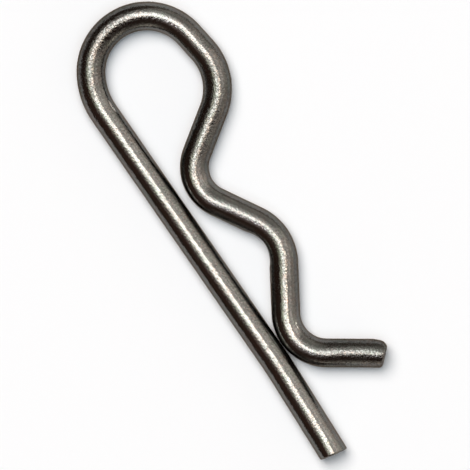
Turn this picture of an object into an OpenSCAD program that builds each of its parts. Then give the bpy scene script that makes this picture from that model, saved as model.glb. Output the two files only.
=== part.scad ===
// Hitch R clip: one length of round spring wire, bent cold round a row of forming pegs.
// The leg slides through the cross hole of a shaft, and the arm's hump snaps over the outside of it.
//
// Frame, in millimetres: the origin is on the shaft's axis, +X runs along the leg to its free end,
// +Y from the leg to the arm, and +Z up from the surface that the clip lies on.

/* [Wire] */
// Diameter of the drawn wire
wire_d = 4; // [3:0.1:5]
// How much of that diameter is lost where the wire is pulled round a peg
neck_down = 0.04; // [0.02:0.01:0.2]

/* [Shaft] */
// Diameter of the shaft that the hump closes on
shaft_d = 16; // [13:0.5:18]

/* [Leg] */
// Straight leg behind the shaft's axis, up to the bow
leg_back = 27.6; // [26.5:0.1:34]
// Distance from the shaft's axis to the lead-off bend
lead_off_x = 15.1; // [12:0.1:20]
// Angle that turns the free end away from the arm
lead_off = 2.7; // [1:0.1:6]
// Inside radius of the lead-off bend
lead_off_r = 58; // [30:1:90]
// Length of the free end, from the lead-off bend to the middle of its cut
free_len = 12.9; // [10:0.1:20]

/* [Bow] */
// Inside radius of the easy bend that opens the bow
bow_lead_r = 8.1; // [6:0.1:12]
// Angle of that easy bend
bow_lead_turn = 28; // [15:1:40]
// Flat between the easy bend and the crown
bow_flat = 0.2; // [0.1:0.1:2]
// Inside radius of the bow's crown
bow_r = 5.75; // [4.5:0.05:7]

/* [Shoulder] */
// Clear width of the bow's eye, from the leg to the shoulder
eye_w = 12.25; // [10:0.05:15]
// Distance along the leg from the crown's peg to the shoulder's peg
crown_to_shoulder = 2.9; // [1.5:0.1:4]
// Inside radius of the shoulder
shoulder_r = 6.05; // [4:0.05:7]

/* [Throat] */
// Distance from the shaft's axis back to the throat peg
throat_x = 11.3; // [10:0.1:12.5]
// Inside radius of the throat
throat_r = 3.35; // [2:0.05:4.5]
// Gap between the throat and the leg
throat_gap = 1.1; // [0.4:0.05:3]

/* [Hump] */
// Inside radius of the hump
hump_r = 4.65; // [3:0.05:6]
// Depth of the land that the forming punch presses into the hump's inside
hump_press = 0.25; // [0.1:0.05:0.5]

/* [Toe] */
// Distance from the shaft's axis to the toe peg
toe_x = 12.6; // [11:0.1:16]
// Inside radius of the toe
toe_r = 3.7; // [2:0.05:5]
// Gap left between the toe and the leg that it rests against
toe_gap = 0.05; // [0.02:0.01:0.5]

/* [Tail] */
// Angle of the turned-up tail from the leg's line
tail_angle = 55; // [30:1:75]
// Length of the tail, from the toe bend to the middle of its cut
tail_len = 8.1; // [5:0.1:14]

/* [Cut ends] */
// Angle off square of the leg's sheared face
leg_cut = 8.5; // [0:0.5:15]
// Rolled edge round the leg's sheared face
leg_roll = 0.2; // [0.1:0.05:0.6]
// Angle off square of the tail's sheared face
tail_cut = 12; // [0:0.5:20]
// Rolled edge round the tail's sheared face
tail_roll = 0.45; // [0.1:0.05:0.7]
// Length over which the shear blade drags the tail's outer side down
droop_len = 2.4; // [1:0.1:4]
// Radius of that drooped side
droop_r = 6.5; // [4:0.1:12]

/* [Hidden] */
$fn = 60;
round_fn = 36;
wire_r = wire_d / 2;
nest = 0.03;

// A peg is [centre, radius of the wire's centre line round it, side]: side is +1 for a left turn.
lead_peg = [[-leg_back, bow_lead_r + wire_r], bow_lead_r + wire_r, -1];
lead_end = 180 - bow_lead_turn;
crown_from = touch(lead_peg, lead_end) + bow_flat * [cos(lead_end), sin(lead_end)];
crown_peg = peg_beside(crown_from, lead_end, bow_r + wire_r, -1);
shoulder_x = crown_peg[0][0] + crown_to_shoulder;
shoulder_peg = [[shoulder_x, wire_r + eye_w - shoulder_r], shoulder_r + wire_r, -1];
throat_peg = [[-throat_x, wire_r + throat_gap + wire_d + throat_r], throat_r + wire_r, 1];
hump_peg = [[0, shaft_d / 2 - hump_press - hump_r], hump_r + wire_r, -1];
toe_peg = [[toe_x, wire_r + toe_gap + wire_d + toe_r], toe_r + wire_r, 1];

row = [crown_peg, shoulder_peg, throat_peg, hump_peg, toe_peg];
runs = [for (i = [0 : len(row) - 2]) heading(row[i], row[i + 1])];
lead_off_cl = lead_off_r + wire_r;
lead_off_start = lead_off_x - lead_off_cl * tan(lead_off / 2);

// Each step is a straight, then the turn and the centre-line radius of the bend after it.
arm_steps = concat(
    [[lead_off_start + leg_back, -bow_lead_turn, lead_peg[1]],
     [bow_flat, turn(crown_peg, lead_end, runs[0]), crown_peg[1]]],
    [for (i = [1 : len(row) - 1])
        [run(row[i - 1], row[i], runs[i - 1]),
         turn(row[i], runs[i - 1], i < len(row) - 1 ? runs[i] : tail_angle),
         row[i][1]]]
);

// Point where the wire's centre line, heading at angle h, touches peg p.
function touch(p, h) = p[0] + p[2] * p[1] * [sin(h), -cos(h)];

// Peg of radius r beside a wire that passes point q at heading h.
function peg_beside(q, h, r, side) = [q - side * r * [sin(h), -cos(h)], r, side];

// Heading of the common tangent that leaves peg a and arrives on peg b.
function heading(a, b) =
    let (d = b[0] - a[0])
    atan2(d[1], d[0]) - asin((b[2] * b[1] - a[2] * a[1]) / norm(d));

// Length of the straight run between two pegs.
function run(a, b, h) = norm(touch(b, h) - touch(a, h));

// Signed angle that the wire turns round peg p between two headings.
function turn(p, from, to) =
    p[2] > 0 ? ((to - from) % 360 + 360) % 360 : -(((from - to) % 360 + 360) % 360);

module straight(len) {
    rotate([0, 90, 0]) cylinder(h = len, r = wire_r, $fn = round_fn);
}

// The drawn-down wire of a bend nests a hair inside the straights that it joins.
module bend(turn, r) {
    over = nest / r * 180 / PI;
    mirror([0, turn > 0 ? 0 : 1, 0]) translate([0, r, 0])
        rotate([0, 0, -90 - over]) rotate_extrude(angle = abs(turn) + 2 * over)
            translate([r, 0]) circle(r = wire_r - neck_down / 2, $fn = round_fn);
}

module after_bend(turn, r) {
    side = sign(turn);
    translate([0, side * r, 0]) rotate([0, 0, turn]) translate([0, -side * r, 0]) children();
}

module bend_train(steps, i = 0) {
    if (i < len(steps)) {
        straight(steps[i][0]);
        translate([steps[i][0], 0, 0]) {
            bend(steps[i][1], steps[i][2]);
            after_bend(steps[i][1], steps[i][2]) bend_train(steps, i + 1) children();
        }
    } else children();
}

// The last `len` of the wire, up to a face sheared `cut` degrees off square with a rolled edge.
module sheared(len, cut, roll) {
    edge = wire_r / cos(cut) + roll * tan(cut) + 0.02;
    intersection() {
        straight(len + wire_r);
        translate([len, 0, 0]) rotate([0, 0, -cut]) rotate([0, 90, 0]) behind_face(edge, roll, len + wire_d);
    }
}

// Everything behind a face at z = 0, inside a die whose edge is rolled over at radius `edge`.
module behind_face(edge, roll, depth) {
    rotate_extrude() difference() {
        translate([0, -depth]) square([2 * wire_d, depth]);
        translate([edge - roll, -roll]) difference() {
            square([2 * wire_d, 2 * roll]);
            circle(r = roll);
        }
    }
}

module leg_end() sheared(free_len, leg_cut, leg_roll);

// The shear blade also drags the tail's outer side down before it bites.
module tail_end() {
    difference() {
        sheared(tail_len, tail_cut, tail_roll);
        translate([tail_len - droop_len, wire_r - droop_r, -wire_d]) difference() {
            cube([droop_len + wire_d, droop_r + 1, 2 * wire_d]);
            cylinder(h = 2 * wire_d, r = droop_r, $fn = 180);
        }
    }
}

// The punch that forms the hump, limited to the side on which it bears.
module punch() {
    r = hump_r + hump_press;
    translate([hump_peg[0][0], hump_peg[0][1], -1]) intersection() {
        cylinder(h = wire_d + 2, r = r, $fn = 180);
        translate([-r, r / 2, 0]) cube([2 * r, r, wire_d + 2]);
    }
}

module clip() color("LightSteelBlue") difference() {
    translate([lead_off_start, 0, wire_r]) {
        rotate([0, 0, 180]) bend_train(arm_steps) tail_end();
        bend(-lead_off, lead_off_cl);
        after_bend(-lead_off, lead_off_cl) leg_end();
    }
    punch();
}

clip();
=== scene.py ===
# %% [markdown]
# # A hitch R clip
#
# An R clip is one length of spring wire. A bending machine feeds it past a row of pegs, and a
# pair of blades shears it off. The straight leg goes through the cross hole of a shaft, and the
# sprung arm rides over the outside until its hump closes on the shaft. Everything that makes it
# look real follows from that: the section stays round, the bends are arcs round pegs, the
# finish was put on the straight wire, and the ends are cut faces with a dragged edge.
#
# Lengths are written in millimetres, as wire is sold and bent. They become Blender's metres
# once, where the points go into the mesh.

from collections import namedtuple
import bpy
import numpy as np
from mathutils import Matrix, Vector


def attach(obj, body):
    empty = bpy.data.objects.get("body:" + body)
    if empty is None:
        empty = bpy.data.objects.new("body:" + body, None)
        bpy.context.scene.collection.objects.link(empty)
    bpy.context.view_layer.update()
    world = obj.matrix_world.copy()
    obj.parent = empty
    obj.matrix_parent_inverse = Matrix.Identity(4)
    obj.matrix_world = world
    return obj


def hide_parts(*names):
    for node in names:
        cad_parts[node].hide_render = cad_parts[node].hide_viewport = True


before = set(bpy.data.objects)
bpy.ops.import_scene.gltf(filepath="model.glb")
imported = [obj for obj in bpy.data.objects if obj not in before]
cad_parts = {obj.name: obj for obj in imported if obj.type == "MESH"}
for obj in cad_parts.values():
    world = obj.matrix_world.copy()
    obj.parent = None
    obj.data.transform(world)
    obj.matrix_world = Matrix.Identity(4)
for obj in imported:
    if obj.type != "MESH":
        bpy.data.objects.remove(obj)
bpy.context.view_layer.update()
MM = 0.001

# %% [markdown]
# ## The pegs
#
# Every bend of the clip was wound round a forming peg. Points placed along a curve by hand would
# do for the eye, but each joint would have to be smoothed. A peg needs only a centre, a radius
# and the side on which it stands, and the wire follows from it, so that moving one peg moves
# everything after it. The radii here are those of the wire's centre line, which is half a wire
# further out than the peg itself. A side of 1 means that the wire turns left round the peg, and
# -1 that it turns right.

# %% The wire, the shaft and a peg, in millimetres
WIRE_R = 2.0
SHAFT_R = 8.0
Peg = namedtuple("Peg", "centre radius side")
print("wire across, mm:", 2 * WIRE_R, "shaft across, mm:", 2 * SHAFT_R)

# %% [markdown]
# ## Headings and tangents
#
# Between two pegs the wire is pulled straight, so it runs along a line that touches both: their
# common tangent. Its heading can be worked out exactly. The line of centres gives the main
# direction, and the two radii tilt it by an arcsine. A tangent meets each arc without a kink,
# which is why the surface needs no smoothing afterwards.

# %% Headings and tangents
def unit(deg):
    """(cos a, sin a) of a heading of a degrees."""
    a = np.radians(deg)
    return np.array([np.cos(a), np.sin(a)])


def right_of(deg):
    """The unit vector 90 degrees to the right of a heading of a degrees: (sin a, -cos a)."""
    a = np.radians(deg)
    return np.array([np.sin(a), -np.cos(a)])


def touch(peg, deg):
    """Where a line of heading a touches a peg: centre + side * radius * (sin a, -cos a)."""
    return peg.centre + peg.side * peg.radius * right_of(deg)


def tangent_heading(a, b):
    """Heading of the line that leaves peg a and arrives on peg b.

    It is the angle of the line of centres - asin((side_b radius_b - side_a radius_a) / distance).
    """
    dx, dy = b.centre - a.centre
    lean = np.arcsin((b.side * b.radius - a.side * a.radius) / np.hypot(dx, dy))
    return np.degrees(np.arctan2(dy, dx) - lean)


def turn_round(peg, start, end):
    """Signed turn of the wire round a peg: end - start, to the left or to the right."""
    return (end - start) % 360 if peg.side > 0 else -((start - end) % 360)


up_past_a_peg = touch(Peg(np.zeros(2), SHAFT_R, 1), 90.0)
print("going up past a peg on the left, the wire is this far right:", up_past_a_peg.round(2)[0])

# %% [markdown]
# ## The row of pegs
#
# The pegs stand where the clip's work puts them. The crown follows from the easy bend that opens
# the bow. The shoulder leaves the bow's eye its clear width. The throat and the toe stand off
# the leg by a small gap, and the hump's inside meets the shaft.

# %% The row of pegs, in millimetres and degrees
LEG_BACK = 27.6
BOW_LEAD_R, BOW_LEAD_TURN, BOW_FLAT, BOW_R = 10.1, 28.0, 0.2, 7.75
BOW_OUT = 180 - BOW_LEAD_TURN
EYE_W, CROWN_TO_SHOULDER, SHOULDER_R = 12.25, 2.9, 8.05
THROAT_X, THROAT_GAP, THROAT_R = 11.3, 1.1, 5.35
HUMP_R, HUMP_PRESS = 6.65, 0.25
TOE_X, TOE_GAP, TOE_R = 12.6, 0.05, 5.7


def arm_pegs():
    """The arm's pegs by name, in the order in which the wire meets them.

    The crown's centre lies beside the end of the bow's flat: end + radius * (sin a, -cos a).
    """
    easy_bend = Peg(np.array([-LEG_BACK, BOW_LEAD_R]), BOW_LEAD_R, -1)
    flat_end = touch(easy_bend, BOW_OUT) + BOW_FLAT * unit(BOW_OUT)
    crown = flat_end + BOW_R * right_of(BOW_OUT)
    shoulder = np.array([crown[0] + CROWN_TO_SHOULDER, EYE_W + 2 * WIRE_R - SHOULDER_R])
    throat = np.array([-THROAT_X, 2 * WIRE_R + THROAT_GAP + THROAT_R])
    hump = np.array([0.0, SHAFT_R - HUMP_PRESS + WIRE_R - HUMP_R])
    toe = np.array([TOE_X, 2 * WIRE_R + TOE_GAP + TOE_R])
    return {
        "crown": Peg(crown, BOW_R, -1),
        "shoulder": Peg(shoulder, SHOULDER_R, -1),
        "throat": Peg(throat, THROAT_R, 1),
        "hump": Peg(hump, HUMP_R, -1),
        "toe": Peg(toe, TOE_R, 1),
    }


PEGS = arm_pegs()
HUMP_AT = PEGS["hump"].centre
print("pegs at, mm:", {name: peg.centre.round(2).tolist() for name, peg in PEGS.items()})

# %% [markdown]
# ## The route
#
# Read from the leg's free end, the wire is a list of straights, each with a bend after it: the
# slight lead-off, the easy bend, the crown, the shoulder, the throat, the hump and the toe, and
# then the straight tail. This list is what a bending machine is told, and it also says how long
# a wire has to be cut.

# %% The route of the wire
LEAD_OFF_X, LEAD_OFF, LEAD_OFF_R = 15.1, 2.7, 60.0
FREE_LEN, TAIL_LEN, TAIL_ANGLE = 12.9, 8.1, 55.0
# the lead-off's arc starts radius * tan(turn / 2) before the corner of its two straights
LEAD_OFF_START = LEAD_OFF_X - LEAD_OFF_R * np.tan(np.radians(LEAD_OFF / 2))


def route(pegs):
    """The wire as pieces of (straight length, turn after it in degrees, radius of that turn).

    The run between two pegs is the distance between the points where their tangent touches.
    """
    heads = [tangent_heading(a, b) for a, b in zip(pegs, pegs[1:])]
    pieces = [
        (FREE_LEN, LEAD_OFF, LEAD_OFF_R),
        (LEAD_OFF_START + LEG_BACK, -BOW_LEAD_TURN, BOW_LEAD_R),
        (BOW_FLAT, turn_round(pegs[0], BOW_OUT, heads[0]), BOW_R),
    ]
    for before, peg, came, goes in zip(pegs, pegs[1:], heads, [*heads[1:], TAIL_ANGLE]):
        run = np.hypot(*(touch(peg, came) - touch(before, came)))
        pieces.append((run, turn_round(peg, came, goes), peg.radius))
    # nothing bends after the tail, so its radius may be anything
    return [*pieces, (TAIL_LEN, 0.0, 1.0)]


def free_end():
    """Middle of the leg's cut: the end of the lead-off's arc, plus the free length beyond it."""
    arc_end = np.array([LEAD_OFF_START, -LEAD_OFF_R]) + LEAD_OFF_R * unit(90 - LEAD_OFF)
    return arc_end + FREE_LEN * unit(-LEAD_OFF)


PIECES = route(list(PEGS.values()))
TIP, TIP_HEADING = free_end(), 180 - LEAD_OFF
# the lengths of every straight and every arc, in turn
LENGTHS = np.array([[run, abs(np.radians(turn)) * r] for run, turn, r in PIECES]).ravel()
WIRE_LEN = LENGTHS.sum()
print("wire length, mm:", round(float(WIRE_LEN), 2), "pieces:", len(PIECES))

# %% [markdown]
# ## The centre line
#
# The surface, the marks and the finish all ask the same question: where is the wire after s
# millimetres? One function answers it for a whole array of distances at once, with numpy, and
# loops only over the few pieces. A Blender curve with bevel could sweep the same line, but it
# couldn't say how far along each point lies, and the finish is laid out by that distance.

# %% The centre line at any distance along the wire
HAIR = 1e-9


def centre_line(s):
    """Point and heading at distances s along the wire.

    On a straight: p = p0 + (s - s0) (cos h, sin h). On a bend of radius r and side k:
    p = peg + k r (sin h, -cos h), with h = h0 + k (s - s0) / r.
    """
    p, h, s0 = TIP, TIP_HEADING, 0.0
    point, heading = p + s[:, None] * unit(h), np.full(len(s), h)
    for length, turn, radius in PIECES:
        on = s >= s0 - HAIR
        point[on] = p + (s[on, None] - s0) * unit(h)
        heading[on] = h
        p, s0 = p + length * unit(h), s0 + length
        k = np.sign(turn)
        on = (s > s0) & (turn != 0)
        peg = p - k * radius * right_of(h)
        bent = h + k * np.degrees((s - s0) / radius)
        point[on] = peg + k * radius * right_of(bent[on]).T
        heading[on] = bent[on]
        p, h = peg + k * radius * right_of(h + turn), h + turn
        s0 = s0 + abs(np.radians(turn)) * radius
    return point, heading


STATIONS = np.linspace(0, WIRE_LEN, 500)
print("middle of the tail's cut, mm:", centre_line(STATIONS)[0][-1].round(2).tolist())

# %% [markdown]
# ## Sheared ends
#
# Blades don't cut like a saw. They drag the skin over the edge before the wire parts, so each
# end is a flat face with a small rolled edge. A Bevel modifier could round that edge, but here
# the roll differs round the tail, so it is part of the surface. The grid turns over the edge in
# a quarter circle, and then runs to the middle of the face.

# %% A rolled edge and its face
EDGE_RINGS, FACE_RINGS = 8, 6
INNER_RING = 0.02


def rolled_end(roll):
    """Rings over a rolled edge and across the face: distance back from the end, and radius.

    Over the edge a goes from 0 to 90 degrees: back = roll (1 - sin a), and
    radius = wire - roll (1 - cos a). Across the face back is 0 and the radius shrinks.
    """
    a = np.linspace(0, np.pi / 2, EDGE_RINGS)[:, None]
    face = np.linspace(1, INNER_RING, FACE_RINGS)[1:, None]
    back = np.r_[roll * (1 - np.sin(a)), 0 * roll * face]
    radius = np.r_[WIRE_R - roll * (1 - np.cos(a)), (WIRE_R - roll) * face]
    return back, radius


print("rings over each end:", EDGE_RINGS + FACE_RINGS - 1)

# %% [markdown]
# ## The ridge of the wire
#
# Seen from above, the highest line of a straight round wire runs down its middle. A peg squeezes
# the inside of a bend, and the ridge moves a little to the outside. The blades drag it aside at
# the ends as well. The shift is at most 0.3 mm, but polished wire shows it plainly, because the
# bright line of a lamp sits near the ridge and bends with it. The wire's sides stay in place.

# %% The ridge's shift
LEG_RIDGE, TAIL_RIDGE = 0.28, -0.28
RIDGE_LEN, RIDGE_POWER = 3.0, 1.5
BEND_RIDGE, BEND_LAG = 5.5, 3.5
PUNCH_REACH = 5.0


def ridge_shift(s):
    """How far left of the middle the wire's ridge lies, in mm, at distances s.

    The blades drag it by end * (1 - s / length)^power. A peg pushes it out of the bend by
    bend * curvature^2, with the mean curvature of the `lag` mm that have just passed the peg.
    The punched hump keeps its ridge: the push there is times 1 - exp(-(x / reach)^2).
    """
    flat = s.ravel()
    point, heading = centre_line(flat)
    curvature = np.radians(heading - centre_line(flat - BEND_LAG)[1]) / BEND_LAG
    unpunched = 1 - np.exp(-(((point[:, 0] - HUMP_AT[0]) / PUNCH_REACH) ** 2))
    pushed = -BEND_RIDGE * curvature * abs(curvature) * unpunched
    leg = LEG_RIDGE * np.clip(1 - s / RIDGE_LEN, 0, 1) ** RIDGE_POWER
    tail = TAIL_RIDGE * np.clip(1 - (WIRE_LEN - s) / RIDGE_LEN, 0, 1) ** RIDGE_POWER
    return pushed.reshape(s.shape) + leg + tail


shift = ridge_shift(STATIONS)
print("ridge, mm left of the middle: from", shift.min().round(2), "to", shift.max().round(2))

# %% [markdown]
# ## The punched land
#
# The hump is the bend that closes on the shaft, and a punch sets it. Its straight-sided nose
# leaves a narrow flat land on the wire's inside. A Boolean with a cylinder could cut it, but it
# would leave long thin faces and a hard end. Pushing the grid's own points out to the punch's
# round keeps the mesh even, and lets the land fade where the punch lifts off.

# %% The punched land
LAND_W = 2.4


def pressed(xy):
    """Points pushed outwards from the hump's centre until they clear the punch.

    The punch's radius is inside + press * exp(-(x / w)^2), and it bears on the outer side only.
    """
    off = xy - HUMP_AT
    reach = np.hypot(*off.T)
    punch = HUMP_R - WIRE_R + HUMP_PRESS * np.exp(-((off[:, 0] / LAND_W) ** 2))
    push = np.clip(punch - reach, 0, None) * (off[:, 1] > 0)
    return xy + off * (push / np.maximum(reach, HAIR))[:, None]


inside = HUMP_AT + np.array([[0.0, HUMP_R - WIRE_R]])
print("depth of the land, mm:", (pressed(inside) - inside).round(2)[0, 1])

# %% [markdown]
# ## The rings
#
# The surface is a circle carried along the centre line: s runs along the wire and v round it,
# from the left side over the top. Each circle is one ring of points. Rings stand evenly, one
# more stands at each joint, and those of the two ends close the row. One grid makes the whole
# part, so there is no seam between the wire and its ends.

# %% The rings along the wire
RINGS, AROUND = 640, 128
MERGE_DECIMALS = 4
LEG_ROLL, TAIL_ROLL, TAIL_ROLL_LEFT = 0.25, 0.45, 0.5


def rings(v):
    """Distance along the wire and radius of every ring, as grids of (ring, angle v).

    The rings stand evenly, with one more at each joint of a straight and a bend. The tail is
    rolled more on its left: roll = even + left * max(cos v, 0)^2.
    """
    leg_back, leg_radius = rolled_end(LEG_ROLL + 0 * v)
    tail_roll = TAIL_ROLL + TAIL_ROLL_LEFT * np.clip(np.cos(v), 0, 1) ** 2
    tail_back, tail_radius = rolled_end(tail_roll)
    joints = np.cumsum(LENGTHS)[:-1]
    s = np.r_[np.linspace(0, WIRE_LEN, RINGS), joints]
    s = np.unique(np.round(s, MERGE_DECIMALS))
    s = s[(s > LEG_ROLL) & (s < WIRE_LEN - tail_back.max())][:, None] + 0 * v
    s = np.r_[leg_back[::-1], s, WIRE_LEN - tail_back]
    radius = np.full_like(s, WIRE_R)
    radius[: len(leg_radius)] = leg_radius[::-1]
    radius[-len(tail_radius) :] = tail_radius
    return s, radius


ANGLES = np.arange(AROUND)[None] / AROUND * 2 * np.pi
print("rings and points round each:", rings(ANGLES)[0].shape)

# %% [markdown]
# ## The wire's surface
#
# Now the rings are placed in the room. A straight cylinder bent by a modifier would do this too,
# but here each effect of the making is one line of arithmetic on the straight wire: the last few
# millimetres lean into the plane of the cut, the shear drags the tail's left side down, the
# ridge moves aside, and only then is the wire bent and pressed by the punch.

# %% The wire's surface
LEG_CUT, TAIL_CUT = 8.5, 12.0
LEAN_LEN = 5.0
DROOP_LEN, DROOP = 2.4, 0.46


def wire_surface(v):
    """Points of the surface in mm, and where each lay on the straight wire, as (ring, v, 3).

    P(s, v) = C(s) + r cos v N(s) + r sin v Z, with N to the left of the heading. The cut leans
    s by left * tan(cut). The droop takes droop * drag * (left / r)^2 off the tail's left side,
    with drag = (1 - distance from the end / length)^2. The ridge moves by
    shift * (1 - (left / r)^2), so that the sides stay.
    """
    s, radius = rings(v)
    left, up = radius * np.cos(v), radius * np.sin(v)
    leg = np.clip(1 - s / LEAN_LEN, 0, 1)
    tail = np.clip(1 - (WIRE_LEN - s) / LEAN_LEN, 0, 1)
    lean = leg * np.tan(np.radians(LEG_CUT)) + tail * np.tan(np.radians(TAIL_CUT))
    along = s + lean * left
    drag = np.clip(1 - (WIRE_LEN - s) / DROOP_LEN, 0, 1) ** 2
    left = left - DROOP * drag * np.clip(left / WIRE_R, 0, 1) ** 2
    left = left + ridge_shift(along) * (1 - (left / WIRE_R) ** 2)
    point, heading = centre_line(along.ravel())
    xy = pressed(point - left.ravel()[:, None] * right_of(heading).T)
    grid = np.c_[xy, WIRE_R + up.ravel()].reshape(*s.shape, 3)
    return grid, np.stack([along, left, up], -1)


GRID, STRAIGHT = wire_surface(ANGLES)
print("grid:", GRID.shape[:2], "triangles:", 2 * GRID.shape[0] * GRID.shape[1])

# %% [markdown]
# ## From a grid to a mesh
#
# A grid becomes a mesh when each small square of four neighbours is named as a face. Round the
# wire the last column joins the first, and at each end a fan of triangles meets in one point, a
# pole, which closes the skin. The order of a face's corners decides which way it looks, and
# every face here looks outwards. Each point also keeps where it lay on the straight wire, in
# millimetres, as an attribute that the material can read.

# %% A closed tube from a grid
def closed_tube(name, grid, straight):
    """Mesh of a grid that closes round v, with a pole at the mean of its first and last ring."""
    count, around = grid.shape[:2]
    j = np.arange(around)
    after = (j + 1) % around
    row = np.arange(count - 1)[:, None] * around
    a, b = row + j, row + after
    quads = np.stack([b, a, a + around, b + around], -1).reshape(-1, 4)
    last_row = (count - 1) * around
    first_pole = np.full(around, count * around)
    start = np.c_[first_pole, j, after]
    end = np.c_[first_pole + 1, last_row + after, last_row + j]
    verts = np.r_[grid.reshape(-1, 3), grid[[0, -1]].mean(1)] * MM
    mesh = bpy.data.meshes.new(name)
    mesh.from_pydata(verts.tolist(), [], quads.tolist() + start.tolist() + end.tolist())
    where = np.r_[straight.reshape(-1, 3), straight[[0, -1]].mean(1)].astype(np.float32)
    kept = mesh.attributes.new("straight_wire", "FLOAT_VECTOR", "POINT")
    kept.data.foreach_set("vector", where.ravel())
    mesh.shade_smooth()
    mesh.update()
    piece = bpy.data.objects.new(name, mesh)
    bpy.context.scene.collection.objects.link(piece)
    return piece


wire = closed_tube("spring_wire", GRID, STRAIGHT)
print("points:", len(wire.data.vertices), "faces:", len(wire.data.polygons))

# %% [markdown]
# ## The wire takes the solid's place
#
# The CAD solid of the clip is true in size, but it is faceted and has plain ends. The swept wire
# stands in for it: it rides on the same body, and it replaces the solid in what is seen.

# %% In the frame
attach(wire, "root")
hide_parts("clip")
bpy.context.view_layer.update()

# %% [markdown]
# ## Where the wire is dull
#
# The plate is bright where the wire was polished by the die and rubbed by the pegs. It stays dull
# and grainy where little has touched it: round the bow, on the shoulder and the slope below it,
# on the way down to the toe and on the tail. Texture painting could show this, but then it would
# be tied to one shape. Here each dull stretch is a place along the wire, in millimetres from the
# leg's end, kept as one number on each point.

# %% Dull stretches along the wire
DULL_BASE = 0.12
DULL_FADE = 2.0
DULL_STRETCHES = (
    # start, end, amount; the last one runs on past the tail's cut
    (59.5, 73.5, 0.9),
    (86, 103, 0.8),
    (117, 128, 0.55),
    (136, 150, 0.9),
)


def dullness(s):
    """base + sum of amount * rise(start) * fall(end), each a step of tanh((s - place) / fade)."""
    d = np.full(s.shape, DULL_BASE)
    for start, end, amount in DULL_STRETCHES:
        rise = 0.5 + 0.5 * np.tanh((s - start) / DULL_FADE)
        fall = 0.5 - 0.5 * np.tanh((s - end) / DULL_FADE)
        d = d + amount * rise * fall
    return np.clip(d, 0, 1)


def store(piece, name, values):
    """Keep one number for each point of a mesh as an attribute."""
    data = piece.data.attributes.new(name, "FLOAT", "POINT").data
    data.foreach_set("value", values.astype(np.float32))


lay = np.zeros(len(wire.data.vertices) * 3, np.float32)
wire.data.attributes["straight_wire"].data.foreach_get("vector", lay)
store(wire, "dullness", dullness(lay.reshape(-1, 3)[:, 0]))
print("dull share of the wire:", dullness(STATIONS).mean().round(2))

# %% [markdown]
# ## Building a material from small steps
#
# A material in Blender is a graph of nodes. It can be drawn by hand in the shader editor, but a
# graph of seventy nodes is hard to read or change. The helpers from here on add one node each
# and give back its output, so that the material further down reads like arithmetic. Each takes
# sockets and plain values alike.

# %% Node helpers
def feed(tree, value, socket):
    """Link an output to a socket, or set the socket to a number or a vector."""
    if isinstance(value, bpy.types.NodeSocket):
        tree.links.new(value, socket)
    else:
        socket.default_value = value


def calc(tree, kind, *values):
    """One step of arithmetic. MULTIPLY_ADD is first * second + third."""
    node = tree.nodes.new("ShaderNodeMath")
    node.operation = kind
    for value, socket in zip(values, node.inputs):
        feed(tree, value, socket)
    return node.outputs[0]


names = [name for name in wire.data.attributes.keys() if not name.startswith(".")]
print("attributes that a material can read:", names)

# %% [markdown]
# ## Patterns on the straight wire
#
# The finish was put on before the wire was bent, so its patterns are looked up at the place that
# each point had on the straight wire. A noise stretched there along the wire gives drawn lines
# that follow every bend, which a noise in the room's own coordinates could never do.

# %% Reading the wire and its patterns
def attribute(tree, name, output):
    """An attribute of the mesh, read by the material."""
    node = tree.nodes.new("ShaderNodeAttribute")
    node.attribute_name = name
    return node.outputs[output]


def noise(tree, where, scale, detail=2.0, rough=0.5, stretch=(1, 1, 1), offset=(0, 0, 0)):
    """Noise of `scale` features per mm, drawn out along the wire by a stretch below 1."""
    place = tree.nodes.new("ShaderNodeMapping")
    place.inputs["Scale"].default_value = stretch
    place.inputs["Location"].default_value = offset
    pattern = tree.nodes.new("ShaderNodeTexNoise")
    pattern.inputs["Scale"].default_value = scale
    pattern.inputs["Detail"].default_value = detail
    pattern.inputs["Roughness"].default_value = rough
    tree.links.new(where, place.inputs["Vector"])
    tree.links.new(place.outputs["Vector"], pattern.inputs["Vector"])
    return pattern.outputs["Fac"]


print("noise reads", wire.data.attributes["straight_wire"].data_type, "in mm of straight wire")

# %% [markdown]
# ## Marks of the pegs
#
# The wire bears on each peg with one side. Two pegs left marks: a burnished streak where the
# bow begins, and a scuff inside the toe. A decal image could carry them, but two small
# ellipsoids on the straight wire's surface are enough. Inside them the plate is worn bright and
# pressed in by a few hundredths of a millimetre, and noise breaks up the scuff.

# %% Marks of the pegs
MARKS = (
    # along the wire, angle round it, half sizes (along, across, up), broken up or whole, depth
    (57.2, 137.0, (1.15, 0.17, 0.17), False, 0.035),
    (130.5, 55.0, (0.75, 0.2, 0.2), True, 0.012),
)
MARK_STEEP = 2.0
CHIPS = dict(scale=4.5, detail=1.0, offset=(1, 7, 3))
CHIPS_GAIN, CHIPS_CUT = 9.0, -4.2


def vector_calc(tree, kind, *values):
    """One step of vector arithmetic. A length or a dot product comes out as a number."""
    node = tree.nodes.new("ShaderNodeVectorMath")
    node.operation = kind
    for value, socket in zip(values, node.inputs):
        feed(tree, value, socket)
    return node.outputs["Value" if kind in ("LENGTH", "DOT_PRODUCT") else "Vector"]


def held(tree, value):
    """A value held between 0 and 1: min(max(value, 0), 1)."""
    return calc(tree, "MINIMUM", calc(tree, "MAXIMUM", value, 0.0), 1.0)


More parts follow.
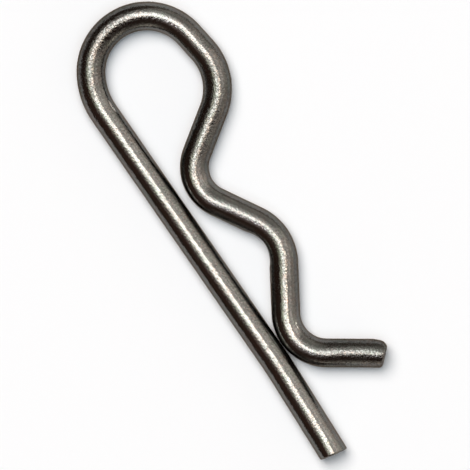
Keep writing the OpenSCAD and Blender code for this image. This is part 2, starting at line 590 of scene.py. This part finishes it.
def mark(tree, where, along, angle, size, broken):
    """steep * (1 - |(p - centre) / size|), held to 0..1, times noise where it is broken up."""
    a = np.radians(angle)
    centre = (along, WIRE_R * np.cos(a), WIRE_R * np.sin(a))
    off = vector_calc(tree, "SUBTRACT", where, centre)
    far = vector_calc(tree, "LENGTH", vector_calc(tree, "DIVIDE", off, size))
    worn = held(tree, calc(tree, "MULTIPLY_ADD", far, -MARK_STEEP, MARK_STEEP))
    if broken:
        chips = calc(tree, "MULTIPLY_ADD", noise(tree, where, **CHIPS), CHIPS_GAIN, CHIPS_CUT)
        worn = calc(tree, "MULTIPLY", worn, held(tree, chips))
    return worn


print("marks at, mm along the wire:", [each[0] for each in MARKS])

# %% [markdown]
# ## The relief of the plate
#
# Plated spring steel shows its making in layers: a fine grain, a slow swell left by
# straightening, lines drawn along the wire by the die, and small pits. Each is under 0.05 mm
# high, too fine for the mesh, so they are bump: the shader tilts the surface by a height in
# millimetres and the outline stays smooth. Each layer is a noise on the straight wire's own
# millimetres, so it follows the bends.

# %% The relief of the plate
GRAIN = dict(scale=3.2, detail=1.5, rough=0.6)
GRAIN_MM = (0.026, 0.034)
SWELL = dict(scale=1.1, detail=1.0, offset=(7, 3, 1))
SWELL_MM = 0.008
DRAWN = dict(scale=4.5, detail=2.0, stretch=(0.04, 1, 1))
DRAWN_MM = 0.006
PITS = dict(scale=4.0, detail=2.0, rough=0.6, offset=(4, 4, 4))
PITS_GAIN, PITS_CUT, PITS_SOFT = 10.0, -4.3, 0.3
PITS_MM = (0.0015, 0.004)


def by_dullness(tree, dull, values):
    """at_bright + dull * (at_dull - at_bright), for a pair of values (at_bright, at_dull)."""
    at_bright, at_dull = values
    return calc(tree, "MULTIPLY_ADD", dull, at_dull - at_bright, at_bright)


def sound_plate(tree, where):
    """1 on sound plate and 0 in a pit: gain * noise + cut, held to 0..1 with a soft top."""
    steep = calc(tree, "MULTIPLY_ADD", noise(tree, where, **PITS), PITS_GAIN, PITS_CUT)
    return calc(tree, "MAXIMUM", calc(tree, "SMOOTH_MIN", steep, 1.0, PITS_SOFT), 0.0)


def relief(tree, where, dull, sound):
    """Height in mm = grain + swell + drawn lines + plate above its pits - marks of the pegs.

    Gives the height, and how worn each point is by a mark.
    """
    grain = noise(tree, where, **GRAIN)
    height = calc(tree, "MULTIPLY", grain, by_dullness(tree, dull, GRAIN_MM))
    height = calc(tree, "MULTIPLY_ADD", noise(tree, where, **SWELL), SWELL_MM, height)
    height = calc(tree, "MULTIPLY_ADD", noise(tree, where, **DRAWN), DRAWN_MM, height)
    height = calc(tree, "MULTIPLY_ADD", sound, by_dullness(tree, dull, PITS_MM), height)
    worn = 0.0
    for along, angle, size, broken, depth in MARKS:
        here = mark(tree, where, along, angle, size, broken)
        height = calc(tree, "MULTIPLY_ADD", here, -depth, height)
        worn = calc(tree, "MAXIMUM", here, worn)
    return height, worn


print("most relief, mm:", round(GRAIN_MM[1] + SWELL_MM + DRAWN_MM + PITS_MM[1], 3))

# %% [markdown]
# ## The colour of the plate
#
# Bare metal reflects with its own tint, and a thin old plate drifts from brown over grey to
# olive. One flat colour would look like plastic. A slow noise and small flecks move the tint
# along a ramp, and a shade darkens it in the pits, in the dull stretches and along streaks. The
# marks of the pegs are rubbed bright, so they add to the shade.

# %% The colour of the plate
BROWN, GREY, OLIVE = (0.1962, 0.1737, 0.1602), (0.1818, 0.18, 0.1746), (0.1728, 0.1836, 0.1674)
TONES = ((0.35, BROWN), (0.5, GREY), (0.65, OLIVE))
DRIFT = dict(scale=0.45, detail=3.0, rough=0.6, offset=(2, 5, 9))
FLECKS = dict(scale=3.4, detail=1.0, offset=(9, 2, 2))
FLECKS_SHARE = 0.5
STREAKS = dict(scale=3.6, detail=2.0, rough=0.6, stretch=(0.12, 1, 1), offset=(5, 1, 6))
STREAKS_SWING = 0.5
PITS_SHADE = (0.1, 0.35)
DULL_LOSS = 0.25
MARK_GAIN = 2.8


def ramp(tree, value, stops):
    """Colour ramp through stops of (position, colour)."""
    node = tree.nodes.new("ShaderNodeValToRGB")
    # each new stop goes between the two that a ramp starts with, and gets its place below
    while len(node.color_ramp.elements) < len(stops):
        node.color_ramp.elements.new(0.5)
    for element, (position, colour) in zip(node.color_ramp.elements, stops):
        element.position = position
        element.color = (*colour, 1)
    tree.links.new(value, node.inputs["Fac"])
    return node.outputs["Color"]


def plate_shade(tree, where, dull, sound, worn):
    """(1 - pit depth * (1 - sound)) * (1 - loss * dull) * streaks + gain * worn."""
    depth = by_dullness(tree, dull, PITS_SHADE)
    in_pit = calc(tree, "SUBTRACT", 1.0, depth)
    shade = calc(tree, "ADD", calc(tree, "MULTIPLY", sound, depth), in_pit)
    shade = calc(tree, "MULTIPLY", shade, calc(tree, "MULTIPLY_ADD", dull, -DULL_LOSS, 1.0))
    streaks = noise(tree, where, **STREAKS)
    streaks = calc(tree, "MULTIPLY_ADD", streaks, STREAKS_SWING, 1.0 - STREAKS_SWING / 2)
    shade = calc(tree, "MULTIPLY", shade, streaks)
    return calc(tree, "MULTIPLY_ADD", worn, MARK_GAIN, shade)


def plate_tone(tree, where):
    """Ramp of brown, grey and olive at drift * (1 - share) + flecks * share."""
    drift = calc(tree, "MULTIPLY", noise(tree, where, **DRIFT), 1.0 - FLECKS_SHARE)
    flecks = calc(tree, "MULTIPLY", noise(tree, where, **FLECKS), FLECKS_SHARE)
    return ramp(tree, calc(tree, "ADD", drift, flecks), TONES)


print("reflectance of the grey plate:", GREY[1])

# %% [markdown]
# ## Plated spring steel
#
# The finish is dull zinc or phosphate plate on spring steel: a metal with low reflectance, soft
# on sound plate and rougher in its pits. The Principled shader's Metallic of 1 makes all its
# light reflection, and the Specular Tint dims it at glancing angles, as a thin plate does.
# Roughness, colour and relief all read the same dullness, which patches of noise break up, so
# that a dull place is grainier, darker and softer at once.

# %% Plated spring steel
EDGE_TINT = (0.38, 0.32, 0.27, 1)
PATCHES = dict(scale=0.9, detail=3.0, rough=0.6, offset=(3, 8, 2))
PATCHES_SWING = 0.9
PLATE_ROUGH = (0.08, 0.12)
PITS_ROUGH = (0.10, 0.20)


def scaled(tree, colour, amount):
    """A colour or a vector times a number."""
    node = tree.nodes.new("ShaderNodeVectorMath")
    node.operation = "SCALE"
    feed(tree, colour, node.inputs[0])
    feed(tree, amount, node.inputs["Scale"])
    return node.outputs["Vector"]


def plated_steel():
    """Metal of roughness = plate + pits * (1 - sound), with the relief and the colour above."""
    metal = bpy.data.materials.new("plated_spring_steel")
    metal.use_nodes = True
    tree = metal.node_tree
    steel = tree.nodes["Principled BSDF"]
    steel.inputs["Metallic"].default_value = 1.0
    steel.inputs["Specular Tint"].default_value = EDGE_TINT
    where = attribute(tree, "straight_wire", "Vector")
    patches = noise(tree, where, **PATCHES)
    patches = calc(tree, "MULTIPLY_ADD", patches, PATCHES_SWING, -PATCHES_SWING / 2)
    dull = held(tree, calc(tree, "ADD", attribute(tree, "dullness", "Fac"), patches))
    sound = sound_plate(tree, where)
    height, worn = relief(tree, where, dull, sound)
    bump = tree.nodes.new("ShaderNodeBump")
    bump.inputs["Strength"].default_value = 1.0
    bump.inputs["Distance"].default_value = MM
    tree.links.new(height, bump.inputs["Height"])
    tree.links.new(bump.outputs["Normal"], steel.inputs["Normal"])
    pitted = calc(tree, "SUBTRACT", 1.0, sound)
    plate_rough = by_dullness(tree, dull, PLATE_ROUGH)
    pits_rough = by_dullness(tree, dull, PITS_ROUGH)
    rough = calc(tree, "MULTIPLY_ADD", pitted, pits_rough, plate_rough)
    tree.links.new(rough, steel.inputs["Roughness"])
    shade = plate_shade(tree, where, dull, sound, worn)
    colour = scaled(tree, plate_tone(tree, where), shade)
    tree.links.new(colour, steel.inputs["Base Color"])
    return metal


wire.data.materials.append(plated_steel())
print("nodes in the plate:", len(wire.active_material.node_tree.nodes))

# %% [markdown]
# ## The camera
#
# A flat part such as this is looked at from straight above, and from far away, so that every
# stretch of it is seen from the same side. The lens then has to be long: its focal length is the
# sensor's width times the distance over the width of what is seen. The camera is turned about
# its own line of sight, so that the leg runs from the upper left to the lower right. The view
# transform is Standard, which shows each colour as it is.

# %% The camera
VIEW_TURN = 55.344
VIEW_AT = np.array([-3.38, 5.31]) * MM
VIEW_WIDTH = 65.05 * MM
VIEW_FROM = 3000 * MM
VIEW_NEAREST, VIEW_FURTHEST = 0.01, 20.0
camera = bpy.data.objects.new("camera", bpy.data.cameras.new("camera"))
bpy.context.scene.collection.objects.link(camera)
camera.data.lens = camera.data.sensor_width * VIEW_FROM / VIEW_WIDTH
camera.data.clip_start, camera.data.clip_end = VIEW_NEAREST, VIEW_FURTHEST
camera.location = (*VIEW_AT, WIRE_R * MM + VIEW_FROM)
camera.rotation_euler = (0, 0, np.radians(VIEW_TURN))
bpy.context.scene.camera = camera
bpy.context.scene.view_settings.view_transform = "Standard"
print("lens, mm:", round(camera.data.lens))

# %% [markdown]
# ## The studio
#
# Bare metal has next to no colour of its own: it shows the room. So the room decides how the
# clip looks. The card under it wants even light from a wide lamp, and the metal wants a few
# small bright shapes with dark between them, because the dark is what draws its round section.
# A studio settles this with screens. Here light linking does it: two lamps light the card and
# stay out of the metal's reflections, and the others reach only the wire. Each lamp is placed
# by its direction from the clip, as it would be round a table.

# %% Directions in the studio
VIEW_RIGHT, VIEW_UP = unit(VIEW_TURN), unit(VIEW_TURN + 90)


def toward(azimuth, tilt):
    """Unit vector that leans `tilt` degrees from straight up: sin t (cos a R + sin a U) + cos t Z.

    R is the view's right and U its top, so that an azimuth of 0 is right and 90 is the top.
    """
    a, t = np.radians(azimuth), np.radians(tilt)
    flat = np.sin(t) * (np.cos(a) * VIEW_RIGHT + np.sin(a) * VIEW_UP)
    return np.array([*flat, np.cos(t)])


print("the view's right lies along:", toward(0, 90).round(2).tolist())

# %% [markdown]
# ## A round lamp
#
# An area lamp's power says little about how bright it looks, because a larger disk spreads it
# thinner. What counts for metal is the lamp's radiance, and how much of the view it fills. So
# each lamp is given by those two, and its size and power are worked out. All stand 5 m up, so
# far off that every part of the clip sees them in the same direction.

# %% A round lamp
LAMP_HEIGHT = 5000 * MM
wire_only = bpy.data.collections.new("wire_only")
wire_only.objects.link(wire)


def lamp(name, azimuth, tilt, half_angle, radiance, in_metal=True, on_floor=True):
    """A round lamp that fills a cone of `half_angle` degrees seen from the clip.

    Its power is pi * area * radiance, so its strength is stated as what the metal sees.
    """
    away = toward(azimuth, tilt)
    distance = LAMP_HEIGHT / away[2]
    radius = distance * np.tan(np.radians(half_angle))
    strength = max(radiance)
    data = bpy.data.lights.new(name, "AREA")
    data.shape = "DISK"
    data.size = 2 * radius
    data.energy = np.pi * np.pi * radius**2 * strength
    data.color = np.array(radiance) / strength
    thing = bpy.data.objects.new(name, data)
    bpy.context.scene.collection.objects.link(thing)
    thing.location = np.array([*VIEW_AT, 0]) + distance * away
    thing.rotation_euler = Vector(away).to_track_quat("Z", "Y").to_euler()
    thing.visible_glossy = in_metal
    if not on_floor:
        thing.light_linking.receiver_collection = wire_only
    return thing


print("a lamp straight above stands, m:", LAMP_HEIGHT)

# %% [markdown]
# ## Light on the card
#
# One wide lamp stands over the upper left, so that the clip's soft shadow falls to the lower
# right and shows that it touches the card. A faint, cool fill from the other side keeps the
# shadow from going black.

# %% Lamps for the card
FLOOR_LAMPS = (
    # name, azimuth, tilt, half angle, radiance
    ("floor_lamp", 122, 22.8, 20.0, (6.66, 6.36, 6.16)),
    ("floor_fill", 300, 4, 30.0, (0.87, 1.1, 1.25)),
)
for each in FLOOR_LAMPS:
    lamp(*each, in_metal=False)
print("lamps for the card:", len(FLOOR_LAMPS))

# %% [markdown]
# ## Light on the metal
#
# The bright line along the wire is the reflection of a few small lamps close round the camera.
# Four of them, to the left, the top and the right, cover every heading that the wire takes. A
# wide glow round the top one softens the line, and a small hard one below sharpens it. The fills
# and the boards stand lower and are dim: they lift the wire's flanks out of black on the side
# where the room is open.
#
# Most of these numbers were not chosen one by one. A least-squares fit of what the wire should
# mirror, made outside this file, gave nine of the eleven lamps. Four of the nine, the keys to
# the left, top and right and the left fill, were then moved or resized.

# %% Lamps for the metal
METAL_LAMPS = (
    # name, azimuth, tilt, half angle, radiance
    ("key_left", 168, 5.5, 9.5, (4.99, 4.98, 4.86)),
    ("key_top", 114, 17.4, 12.2, (4.73, 4.69, 4.62)),
    ("glow_top", 114, 19.4, 28.9, (0.73, 0.73, 0.69)),
    ("key_right", 22, 10.4, 7.0, (5.17, 5.06, 4.89)),
    ("key_right_warm", 356, 12.5, 7.4, (4.89, 3.89, 3)),
    ("fill_left", 180, 22.0, 12.6, (1.19, 1.31, 0.97)),
    ("fill_right", 12, 35.0, 19.2, (0.96, 0.9, 0.86)),
    ("spark_below", 242, 18.1, 2.7, (10.09, 9.73, 10.32)),
    ("fill_below", 230, 27.2, 14.6, (0.31, 0.27, 0.26)),
    ("board_top", 58, 47.5, 28.5, (0.42, 0.42, 0.39)),
    ("board_right", 5, 60, 29.0, (0.79, 0.72, 0.64)),
)
for each in METAL_LAMPS:
    lamp(*each, on_floor=False)
print("lamps for the metal:", len(METAL_LAMPS))

# %% [markdown]
# ## The room
#
# Near the horizon the wire's sides mirror the room itself. It is dark and a little warm, with
# lighter places low at the right and the bottom of the view, as by windows or pale walls. An
# image of a real room could light it, but a sum of a few soft glows is enough, and each can be
# moved. A glow is strongest in its own direction and fades with the angle from it.

# %% The room
ROOM = (0.056, 0.031, 0.023)
GLOWS = (
    # azimuth, tilt, tightness, radiance
    (24, 78, 24.0, (0.667, 0.639, 0.583)),
    (62, 86, 7.0, (0.278, 0.261, 0.222)),
    (215, 55, 6.0, (0.056, 0.031, 0.022)),
    (316, 87, 20.0, (1.833, 1.667, 1.444)),
    (270, 87, 26.0, (1.1, 1.03, 0.9)),
)


def room(base, glows):
    """World colour in direction d: base + sum of radiance * exp(tightness * (d . centre - 1))."""
    world = bpy.data.worlds.new("studio")
    world.use_nodes = True
    tree = world.node_tree
    direction = tree.nodes.new("ShaderNodeTexCoord").outputs["Generated"]
    total = base
    for azimuth, tilt, tightness, radiance in glows:
        near = vector_calc(tree, "DOT_PRODUCT", direction, toward(azimuth, tilt))
        fall = calc(tree, "MULTIPLY_ADD", near, tightness, -tightness)
        glow = scaled(tree, radiance, calc(tree, "EXPONENT", fall))
        total = vector_calc(tree, "ADD", glow, total)
    tree.links.new(total, tree.nodes["Background"].inputs["Color"])
    return world


bpy.context.scene.world = room(ROOM, GLOWS)
print("glows in the room:", len(GLOWS))

# %% [markdown]
# ## The card
#
# The clip lies on a sheet of white card with a slight sheen. It is far larger than the view, so
# that the wire's sides mirror white card all the way out. A white of 0.96 and plain lamps keep
# it just under pure white, and so the soft shadow still shows.

# %% The card
CARD_HALF = 4.0
CARD_WHITE = 0.96
CARD_ROUGH = 0.35


def white_card():
    """A square sheet at z = 0, with corners at plus and minus CARD_HALF metres."""
    corners = CARD_HALF * np.array([(-1, -1, 0), (1, -1, 0), (1, 1, 0), (-1, 1, 0)])
    mesh = bpy.data.meshes.new("floor")
    mesh.from_pydata(corners.tolist(), [], [(0, 1, 2, 3)])
    sheet = bpy.data.objects.new("floor", mesh)
    bpy.context.scene.collection.objects.link(sheet)
    paper = bpy.data.materials.new("floor_white")
    paper.use_nodes = True
    surface = paper.node_tree.nodes["Principled BSDF"]
    surface.inputs["Base Color"].default_value = (CARD_WHITE, CARD_WHITE, CARD_WHITE, 1)
    surface.inputs["Roughness"].default_value = CARD_ROUGH
    mesh.materials.append(paper)
    return sheet


floor = white_card()
print("card, m across:", 2 * CARD_HALF)
